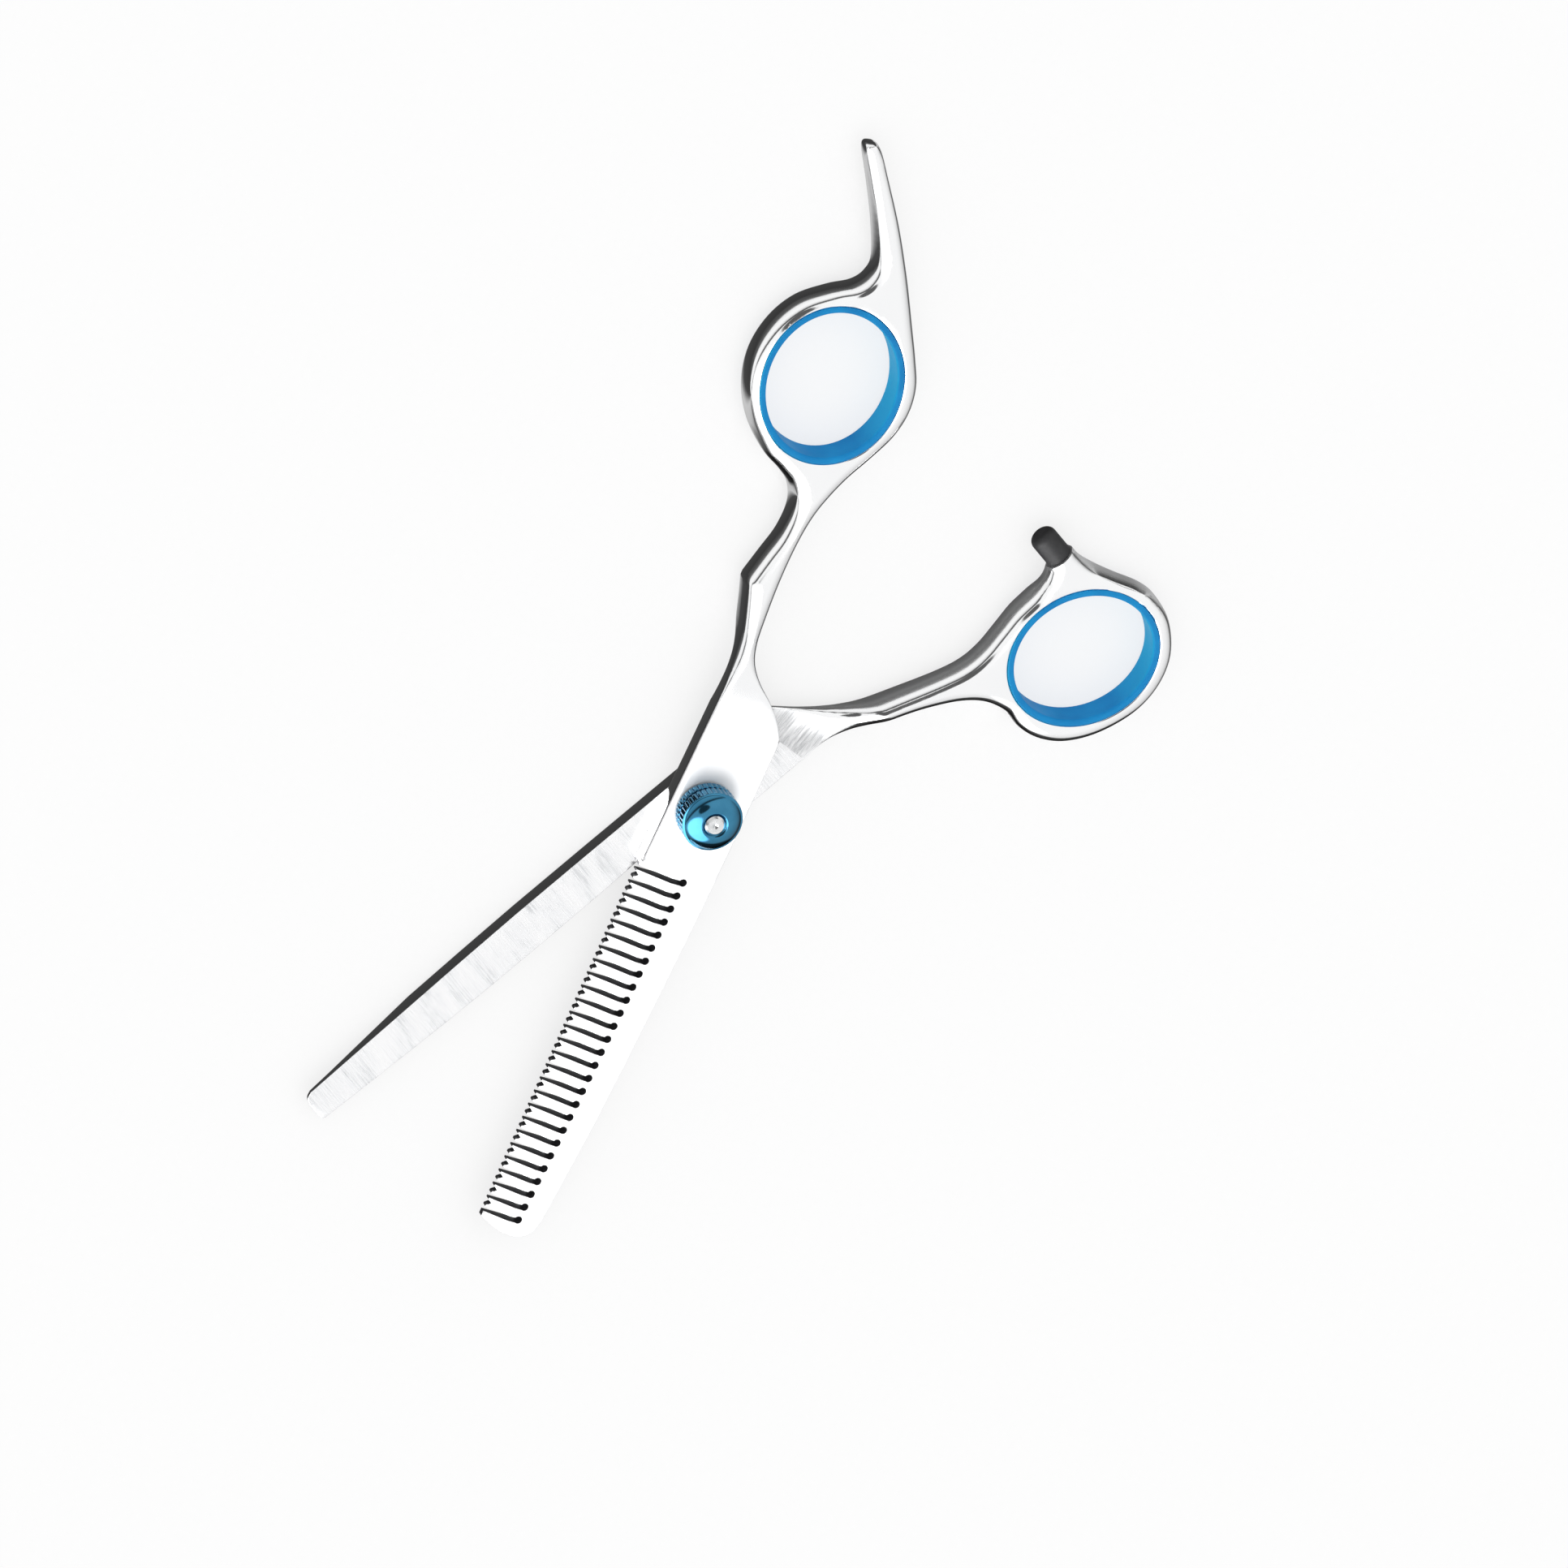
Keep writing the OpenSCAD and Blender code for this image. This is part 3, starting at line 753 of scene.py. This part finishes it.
def dial_profile(outer, height, bore):
    """Closed profile of the dial, from its bore over the dome and the two bands to its hollow."""
    lower, foot, upper = (share * height for share in DIAL_BANDS)
    groove_r = outer - 1.5 * KNURL_DEPTH
    hollow_r, hollow_h = outer - 0.9, 1.35
    dome_r = outer - 0.26
    mouth_r = bore + DIAL_MOUTH
    soft = 0.1
    return dense([(bore, height - DIAL_MOUTH), (mouth_r, height - 0.03), (mouth_r + 0.04, height),
                  *dome(mouth_r + 0.08, height, dome_r, upper + 0.16),
                  *arc((dome_r, upper + 0.02), (outer - dome_r, 0.13), 85, 10, 5),
                  (outer, upper - soft), (outer, foot + soft), (outer - soft, foot),
                  (groove_r, foot - 0.03), (groove_r, lower + 0.03), (outer - soft, lower),
                  (outer, lower - soft), (outer, soft), (outer - soft, 0),
                  (hollow_r, 0), (hollow_r, hollow_h), (bore, hollow_h)], 0.25)


def build_dial(material):
    """The dial, with knurls pressed into the two bands of its lathed profile."""
    outer = (dial_high[0] - dial_low[0]) / 2
    base, height = dial_low[2], dial_high[2] - dial_low[2]
    lower, foot, upper = (share * height for share in DIAL_BANDS)
    steps = KNURLS * 8
    rings = []
    for r, z in dial_profile(outer, height, bolt_thread_d() / 2 + 0.04):
        banded = 0.05 < z < lower or foot < z < upper
        depth = KNURL_DEPTH if banded and r > outer - 0.1 else 0
        ring = []
        for k in range(steps):
            a = 2 * math.pi * k / steps
            wave = abs(math.sin(KNURLS * a / 2))
            reach = r - depth * (1 - wave) ** 1.2
            ring.append((reach * math.cos(a), reach * math.sin(a), base + z))
        rings.append(ring)
    piece = rings_to_object("dial_shell", rings, [material], True)
    shade(piece, 40)
    return piece


def bolt_thread_d():
    """Diameter of the bolt's threaded end, which stands out of the dial."""
    co = np.array([v.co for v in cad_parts["pivot_bolt"].data.vertices]) / MM
    top = co[co[:, 2] > bolt_high[2] - 0.4]
    return 2 * np.hypot(top[:, 0], top[:, 1]).max()


def build_insert(name, node, material):
    """A soft ring with rounded lips, swept round the CAD insert's outer oval."""
    low, high = box_mm(node)
    outline = by_area(section(node, RIDE_Z + INSERT_LEVEL, 0.0))
    outer, inner = outline[0], outline[1]
    wall = np.hypot(*(outer[:, None] - inner[None]).reshape(-1, 2).T).min()
    outer = subdivided(outer, 0.45)
    ahead = np.roll(outer, -1, axis=0) - np.roll(outer, 1, axis=0)
    ahead /= np.hypot(ahead[:, 0], ahead[:, 1])[:, None]
    inward = np.stack([-ahead[:, 1], ahead[:, 0]], axis=1)
    lip, edge = 0.42, 0.2
    profile = (arc((edge, high[2] - edge), edge, 180, 90, 4)
               + arc((wall - lip, high[2] - lip), lip, 90, 0, 7)
               + arc((wall - lip, low[2] + lip), lip, 0, -90, 7)
               + arc((edge, low[2] + edge), edge, -90, -180, 4))
    profile = dense(profile, 0.6)
    rings = [[(*(p + n * w), z) for p, n in zip(outer, inward)] for w, z in profile]
    piece = rings_to_object(name, rings, [material], True)
    shade(piece, 50)
    return piece


def build_bumper(material):
    """A rubber peg with a rounded nose, lathed about the boss's axis."""
    turn = Matrix.Rotation(OPEN_ANGLE, 3, "Z")
    co = np.array([turn @ v.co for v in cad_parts["bumper"].data.vertices]) / MM
    low, high = co.min(0), co.max(0)
    radius = (high[0] - low[0]) / 2
    length = high[1] - low[1]
    centre = (low[0] + high[0]) / 2
    nose, edge = 1.2, 0.15
    profile = dense([*[(radius * k / 5, 0.0) for k in range(1, 5)],
                     *arc((radius - edge, edge), edge, -90, 0, 4),
                     *arc((radius - nose, length - nose), nose, 0, 90, 10),
                     *[((radius - nose) * k / 3, length) for k in (2, 1)]], 0.4)
    turns = [2 * math.pi * k / 64 for k in range(64)]
    back = turn.transposed()
    rings = [[tuple(back @ Vector((centre + r * math.cos(a), high[1] - reach, RIDE_Z + r * math.sin(a))))
              for a in turns] for r, reach in profile]
    piece = rings_to_object("bumper_rubber", rings, [material], False, True)
    shade(piece, 50)
    return piece


# ---- materials ----------------------------------------------------------------

SATIN_ROUGHNESS = 0.52
SATIN_FROM = (-0.02, -0.011)        # metres along x over which the polish turns to satin
LEVEL_FROM = (0.25, 0.7)            # a face counts as level between these heights of its normal
STEEP_UP_TO = (0.25, 0.55)          # and as steep below these
PAINTED_LIGHT_HEADING = (0.57, -0.82, 0)      # the way the inserts' walls with painted light face


class NodeTree:
    """A node tree with short calls for the nodes used here."""

    def __init__(self, tree):
        self.tree = tree

    def feed(self, socket, value):
        if isinstance(value, bpy.types.NodeSocket):
            self.tree.links.new(value, socket)
        else:
            socket.default_value = value

    def node(self, kind, **inputs):
        made = self.tree.nodes.new(kind)
        for key, value in inputs.items():
            self.feed(made.inputs[key.replace("_", " ")], value)
        return made

    def operation(self, kind, name, values):
        made = self.node(kind)
        made.operation = name
        for socket, value in zip(made.inputs, values):
            self.feed(socket, value)
        return made

    def math(self, name, *values):
        return self.operation("ShaderNodeMath", name, values).outputs[0]

    def vector_math(self, name, *values):
        made = self.operation("ShaderNodeVectorMath", name, values)
        return made.outputs["Value" if name == "DOT_PRODUCT" else "Vector"]

    def axis(self, vector, name):
        return self.node("ShaderNodeSeparateXYZ", Vector=vector).outputs[name]

    def normal(self):
        return self.node("ShaderNodeNewGeometry").outputs["Normal"]

    def coords(self, turn=0.0, scale=(1, 1, 1)):
        """Object coordinates in metres, turned about the pivot and scaled."""
        where = self.node("ShaderNodeTexCoord").outputs["Object"]
        turned = self.node("ShaderNodeMapping", Vector=where, Rotation=(0, 0, turn))
        return self.node("ShaderNodeMapping", Vector=turned.outputs[0], Scale=scale).outputs[0]

    def noise(self, vector, scale, detail=3.0, roughness=0.5):
        return self.node("ShaderNodeTexNoise", Vector=vector, Scale=scale, Detail=detail,
                         Roughness=roughness).outputs["Fac"]

    def between(self, value, low, high, from_low=0.0, from_high=1.0):
        """The value's range from_low to from_high, stretched to low to high and held there."""
        return self.node("ShaderNodeMapRange", Value=value, From_Min=from_low, From_Max=from_high,
                         To_Min=low, To_Max=high).outputs["Result"]

    def ramp(self, value, *stops):
        made = self.node("ShaderNodeValToRGB", Fac=value)
        ramp = made.color_ramp
        while len(ramp.elements) < len(stops):
            ramp.elements.new(0.5)
        for element, (place, colour) in zip(ramp.elements, stops):
            element.position = place
            element.color = (*colour, 1)
        return made.outputs["Color"]

    def mix(self, factor, first, second):
        """Two colours mixed."""
        made = self.node("ShaderNodeMix")
        made.data_type = "RGBA"
        for key, value in (("Factor", factor), ("A", first), ("B", second)):
            self.feed(made.inputs[key], value)
        return made.outputs["Result"]


class Shader(NodeTree):
    """A material made on the principled shader."""

    def __init__(self, name, **values):
        self.material = bpy.data.materials.new(name)
        self.material.use_nodes = True
        super().__init__(self.material.node_tree)
        self.bsdf = self.tree.nodes["Principled BSDF"]
        self.set(**values)

    def set(self, **values):
        for key, value in values.items():
            self.feed(self.bsdf.inputs[key.replace("_", " ")], value)

    def bump(self, height, strength, distance):
        self.set(Normal=self.node("ShaderNodeBump", Height=height, Strength=strength,
                                  Distance=distance).outputs["Normal"])


def polished_steel(name, turn, side_roughness):
    """Mirror-polished handles that pass into a satin plate; the steep sides can be duller."""
    s = Shader(name, Metallic=1.0)
    cloud = s.noise(s.coords(), 60, 2)
    s.set(Base_Color=s.ramp(cloud, (0.3, (0.92, 0.925, 0.935)), (0.7, (0.955, 0.957, 0.96))))
    marks = s.noise(s.coords(turn, (0.12, 1, 1)), 5000, 2)
    along = s.axis(s.coords(turn), "X")
    level = s.math("ABSOLUTE", s.axis(s.normal(), "Z"))
    satin = s.between(along, 0.0, SATIN_ROUGHNESS, *SATIN_FROM)
    handle = s.between(along, side_roughness, 0.0, *SATIN_FROM)
    flat = s.between(level, 0.0, 1.0, *LEVEL_FROM)
    steep = s.between(level, 1.0, 0.0, *STEEP_UP_TO)
    dull = s.math("ADD", s.math("MULTIPLY", satin, flat), s.math("MULTIPLY", steep, handle))
    s.set(Roughness=s.math("ADD", s.between(marks, 0.06, 0.13), dull))
    s.bump(marks, 0.05, 0.00002)
    return s.material


def ground_steel(turn):
    """Fine grinding marks straight across the blade, thicker in patches towards its end."""
    s = Shader("ground_steel_" + ("thumb" if turn else "finger"), Metallic=1.0)
    fine = s.noise(s.coords(turn, (1, 0.02, 1)), 5200, 2, 0.6)
    patches = s.noise(s.coords(turn, (1, 0.25, 1)), 420, 3, 0.6)
    marks = s.math("MULTIPLY", fine, s.between(patches, 0.3, 1.5, 0.35, 0.7))
    s.set(Base_Color=s.ramp(marks, (0.15, (0.93, 0.93, 0.935)), (0.5, (0.8, 0.805, 0.815)),
                            (0.9, (0.5, 0.51, 0.52))),
          Roughness=s.between(marks, 0.16, 0.34))
    s.bump(marks, 0.15, 0.00004)
    return s.material


def fluted_steel(turn, skew):
    """Wheel marks that run along the flute's hollow, darker in patches."""
    s = Shader("fluted_steel_" + ("thumb" if turn else "finger"), Metallic=1.0)
    fine = s.noise(s.coords(turn - skew, (0.05, 1, 1)), 2600, 3, 0.65)
    cloud = s.noise(s.coords(turn - skew, (0.5, 1, 1)), 160, 2)
    marks = s.math("MULTIPLY", fine, s.between(cloud, 0.55, 1.45, 0.3, 0.7))
    s.set(Base_Color=s.ramp(marks, (0.25, (0.42, 0.43, 0.44)), (0.75, (0.93, 0.93, 0.935))),
          Roughness=s.between(marks, 0.2, 0.36))
    s.bump(marks, 0.2, 0.00005)
    return s.material


def cut_steel():
    """The unpolished walls of the comb's slots, dark with dull scale."""
    s = Shader("cut_steel", Metallic=1.0)
    scale = s.noise(s.coords(), 1800, 3, 0.6)
    s.set(Base_Color=s.ramp(scale, (0.3, (0.1, 0.1, 0.105)), (0.75, (0.24, 0.24, 0.25))),
          Roughness=s.between(scale, 0.4, 0.6))
    s.bump(scale, 0.15, 0.00003)
    return s.material


def silicone(name):
    """Satin blue silicone with a faint mottled skin, and painted light: walls that face one heading are
    tinted a lighter cyan.
    """
    s = Shader(name, Specular_IOR_Level=0.18, Subsurface_Weight=0.15,
               Subsurface_Radius=(0.0005, 0.001, 0.0015))
    blue = s.ramp(s.noise(s.coords(), 180, 3), (0.3, (0.003, 0.2, 0.5)), (0.7, (0.006, 0.27, 0.6)))
    # painted light: walls that face this heading are tinted a lighter cyan, as if lit from there
    facing = s.vector_math("DOT_PRODUCT", s.normal(), PAINTED_LIGHT_HEADING)
    s.set(Base_Color=s.mix(s.between(facing, 0.0, 1.0, 0.3, 0.95), blue, (0.015, 0.42, 0.72, 1)),
          Roughness=s.between(s.noise(s.coords(), 900, 2), 0.4, 0.55))
    s.bump(s.noise(s.coords(), 2500, 2), 0.08, 0.00003)
    return s.material


def anodised(name):
    """Blue anodised metal with fine turning rings."""
    s = Shader(name, Metallic=1.0)
    height = s.axis(s.node("ShaderNodeTexCoord").outputs["Object"], "Z")
    rings = s.noise(s.node("ShaderNodeCombineXYZ", Z=height).outputs[0], 6000, 2)
    cloud = s.noise(s.coords(), 300, 2)
    s.set(Base_Color=s.ramp(cloud, (0.3, (0.04, 0.18, 0.31)), (0.7, (0.06, 0.24, 0.39))),
          Roughness=s.between(rings, 0.08, 0.16))
    s.bump(rings, 0.05, 0.00002)
    return s.material


def turned_metal(name, colour, roughness=0.22):
    """Lathe-turned metal for the bolt, bush, washers and stud."""
    s = Shader(name, Metallic=1.0)
    marks = s.noise(s.coords(0.0, (1, 1, 6)), 1500, 2)
    darker = tuple(c * 0.85 for c in colour)
    s.set(Base_Color=s.ramp(marks, (0.3, darker), (0.7, colour)),
          Roughness=s.between(marks, roughness * 0.7, roughness * 1.3))
    s.bump(marks, 0.08, 0.00002)
    return s.material


def moulded_plastic(name, colour):
    """Plain nylon with a faint cloud in its colour and its shine."""
    s = Shader(name)
    darker = tuple(c * 0.9 for c in colour)
    s.set(Base_Color=s.ramp(s.noise(s.coords(), 400, 2), (0.3, darker), (0.7, colour)),
          Roughness=s.between(s.noise(s.coords(), 1500, 2), 0.35, 0.5))
    return s.material


def black_rubber():
    """Matte rubber with a fine grain."""
    s = Shader("black_rubber")
    cloud = s.noise(s.coords(), 700, 3)
    s.set(Base_Color=s.ramp(cloud, (0.3, (0.012, 0.012, 0.013)), (0.7, (0.022, 0.022, 0.024))),
          Roughness=s.between(s.noise(s.coords(), 2500, 3), 0.45, 0.65))
    s.bump(s.noise(s.coords(), 5000, 3), 0.25, 0.00004)
    return s.material


# ---- pieces -------------------------------------------------------------------

def dress(piece, node, body):
    """Lets a built piece stand for a CAD node and ride with its body."""
    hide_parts(node)
    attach(piece, body)


BROKEN_EDGE = 0.06


def keep_cad(node, material):
    """A CAD node whose shape is right: it gets its material and broken edges."""
    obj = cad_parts[node]
    obj.data.materials.clear()
    obj.data.materials.append(material)
    bevel = obj.modifiers.new("broken_edges", "BEVEL")
    bevel.width = BROKEN_EDGE * MM
    bevel.segments = 2
    bevel.limit_method = "ANGLE"
    bevel.angle_limit = math.radians(40)


finger_steel = build_half("finger_half_steel", "finger_half", FINGER,
                          [polished_steel("polished_steel_finger", 0.0, 0.0), ground_steel(0.0),
                           fluted_steel(0.0, -FLUTE_SKEW), cut_steel()])
dress(finger_steel, "finger_half", "finger_side")
thumb_steel = build_half("thumb_half_steel", "thumb_half", THUMB,
                         [polished_steel("polished_steel_thumb", OPEN_ANGLE, 0.38), ground_steel(OPEN_ANGLE),
                          fluted_steel(OPEN_ANGLE, FLUTE_SKEW)])
dress(thumb_steel, "thumb_half", "thumb_side")

blue_silicone = silicone("blue_silicone")
for who in ("finger", "thumb"):
    ring = build_insert(who + "_insert_ring", who + "_insert", blue_silicone)
    dress(ring, who + "_insert", who + "_side")

dress(build_dial(anodised("blue_anodised")), "adjusting_dial", "dial")
dress(build_bumper(black_rubber()), "bumper", "thumb_side")

keep_cad("pivot_bolt", turned_metal("bolt_steel", (0.8, 0.81, 0.82), 0.16))
keep_cad("spring_washer", turned_metal("spring_steel", (0.66, 0.67, 0.68)))
keep_cad("click_plate", turned_metal("click_plate_steel", (0.72, 0.73, 0.74)))
keep_cad("pivot_bush", turned_metal("bush_bronze", (0.72, 0.52, 0.27)))
keep_cad("bumper_stud", turned_metal("stud_brass", (0.78, 0.62, 0.32)))
keep_cad("blade_washer", moulded_plastic("washer_nylon", (0.85, 0.84, 0.79)))
# painted shade: the glide washer is made near black so that the gap under the dial reads as a dark line
keep_cad("glide_washer", moulded_plastic("painted_shade_nylon", (0.03, 0.035, 0.04)))


# ---- floor, light and camera --------------------------------------------------

FRAME_WIDTH = 223.6                 # millimetres across the picture
CAMERA_TURN = math.radians(110)
CAMERA_TILT = math.radians(30)
TILT_HEADING = math.radians(-36.5)
PIVOT_OFF_CENTRE = (12.15, 2.43)    # from the pivot to the picture's centre, right and up
FLOOR_REACH = 1.5                   # metres from the floor's middle to its sides
FLOOR_GAP = 0.02                    # millimetres between the floor and the shears
FLOOR_GLOW = 0.72                   # share of the floor's brightness that no shadow touches
UP = Vector((0, 0, 1))

# What reflections see: brightness by the angle from straight up, towards the camera's side
ROOM_LEVELS = [
    (-180, 0.06), (-172, 0.2), (-162, 0.6), (-148, 0.5), (-134, 0.25), (-120, 0.08), (-110, 0.1),
    (-96, 0.5), (-78, 0.72), (-52, 0.9), (-36, 0.98), (44, 1.0), (47, 0.08), (53, 0.08),
    (57, 0.8), (72, 1.0), (90, 0.9), (96, 0.12), (124, 0.04), (180, 0.06)]

# Round cards in the room as (direction, radius and soft edge in degrees, level)
SOFTBOX = (Vector((0.69, -0.21, 0.69)), 32, 4, 3.4)
TABLE_SHADE = (Vector((0.87, 0.4, -0.3)), 30, 8, 0.08)
CAMERA_SHADE = (15, 3, 0.1)         # the same without its direction, which is the camera's


def pale_floor():
    """Bright paper: mostly its own even light, with a soft trace of shadow."""
    s = Shader("pale_floor", Roughness=0.9, Specular_IOR_Level=0.0)
    grain = s.noise(s.coords(), 900, 2)
    s.set(Base_Color=s.ramp(grain, (0.3, (0.93, 0.93, 0.93)), (0.7, (0.95, 0.95, 0.95))))
    glow = s.node("ShaderNodeEmission", Color=(1, 1, 1, 1), Strength=1.0)
    mix = s.node("ShaderNodeMixShader", Fac=FLOOR_GLOW)
    s.feed(mix.inputs[1], s.bsdf.outputs[0])
    s.feed(mix.inputs[2], glow.outputs[0])
    s.feed(s.tree.nodes["Material Output"].inputs["Surface"], mix.outputs[0])
    return s.material


def add_floor():
    mesh = bpy.data.meshes.new("floor")
    bm = bmesh.new()
    bmesh.ops.create_grid(bm, x_segments=8, y_segments=8, size=FLOOR_REACH)
    bm.to_mesh(mesh)
    bm.free()
    mesh.materials.append(pale_floor())
    floor = bpy.data.objects.new("floor", mesh)
    floor.location = (0, 0, (thumb_low[2] - FLOOR_GAP) * MM)
    floor.visible_glossy = False
    bpy.context.scene.collection.objects.link(floor)


def tilt_axis():
    return Vector((math.cos(TILT_HEADING), math.sin(TILT_HEADING), 0))


def camera_pose():
    """The camera's right, up and back directions, as columns."""
    return Matrix.Rotation(CAMERA_TILT, 3, tilt_axis()) @ Matrix.Rotation(CAMERA_TURN, 3, "Z")


def add_camera():
    data = bpy.data.cameras.new("camera")
    data.type = "ORTHO"
    data.ortho_scale = FRAME_WIDTH * MM
    data.clip_end = 10
    camera = bpy.data.objects.new("camera", data)
    pose = camera_pose()
    right, up, back = pose.col
    centre = UP * RIDE_Z + right * PIVOT_OFF_CENTRE[0] + up * PIVOT_OFF_CENTRE[1]
    camera.matrix_world = Matrix.Translation(centre * MM + back) @ pose.to_4x4()
    bpy.context.scene.collection.objects.link(camera)
    bpy.context.scene.camera = camera


def card(tree, direction, axis, radius, soft, level, outside):
    """One level within a radius of an axis and another outside it."""
    near = tree.vector_math("DOT_PRODUCT", direction, axis.normalized())
    edge = math.cos(math.radians(radius + soft)), math.cos(math.radians(radius))
    return tree.between(near, outside, level, *edge)


def add_studio():
    """White room with dark cards, so that the steel shows bright faces and narrow dark bands."""
    world = bpy.data.worlds.new("studio")
    world.use_nodes = True
    bpy.context.scene.world = world
    tree = NodeTree(world.node_tree)
    direction = tree.node("ShaderNodeTexCoord").outputs["Generated"]
    to_camera_side = tilt_axis().cross(UP)
    angle = tree.math("ARCTAN2", tree.vector_math("DOT_PRODUCT", direction, to_camera_side),
                      tree.vector_math("DOT_PRODUCT", direction, UP))
    stops = [((degrees + 180) / 360, (level, level, level)) for degrees, level in ROOM_LEVELS]
    seen = tree.ramp(tree.between(angle, 0.0, 1.0, -math.pi, math.pi), *stops)
    for shade_card in ((camera_pose().col[2], *CAMERA_SHADE), TABLE_SHADE):
        seen = tree.vector_math("MULTIPLY", seen, card(tree, direction, *shade_card, 1.0))
    seen = tree.vector_math("ADD", seen, card(tree, direction, *SOFTBOX, 0.0))
    glossy = tree.node("ShaderNodeLightPath").outputs["Is Glossy Ray"]
    background = world.node_tree.nodes["Background"]
    tree.feed(background.inputs["Color"], tree.mix(glossy, (1, 1, 1, 1), seen))
    background.inputs["Strength"].default_value = 1.0


add_floor()
add_studio()
add_camera()
bpy.context.scene.view_settings.view_transform = "Standard"
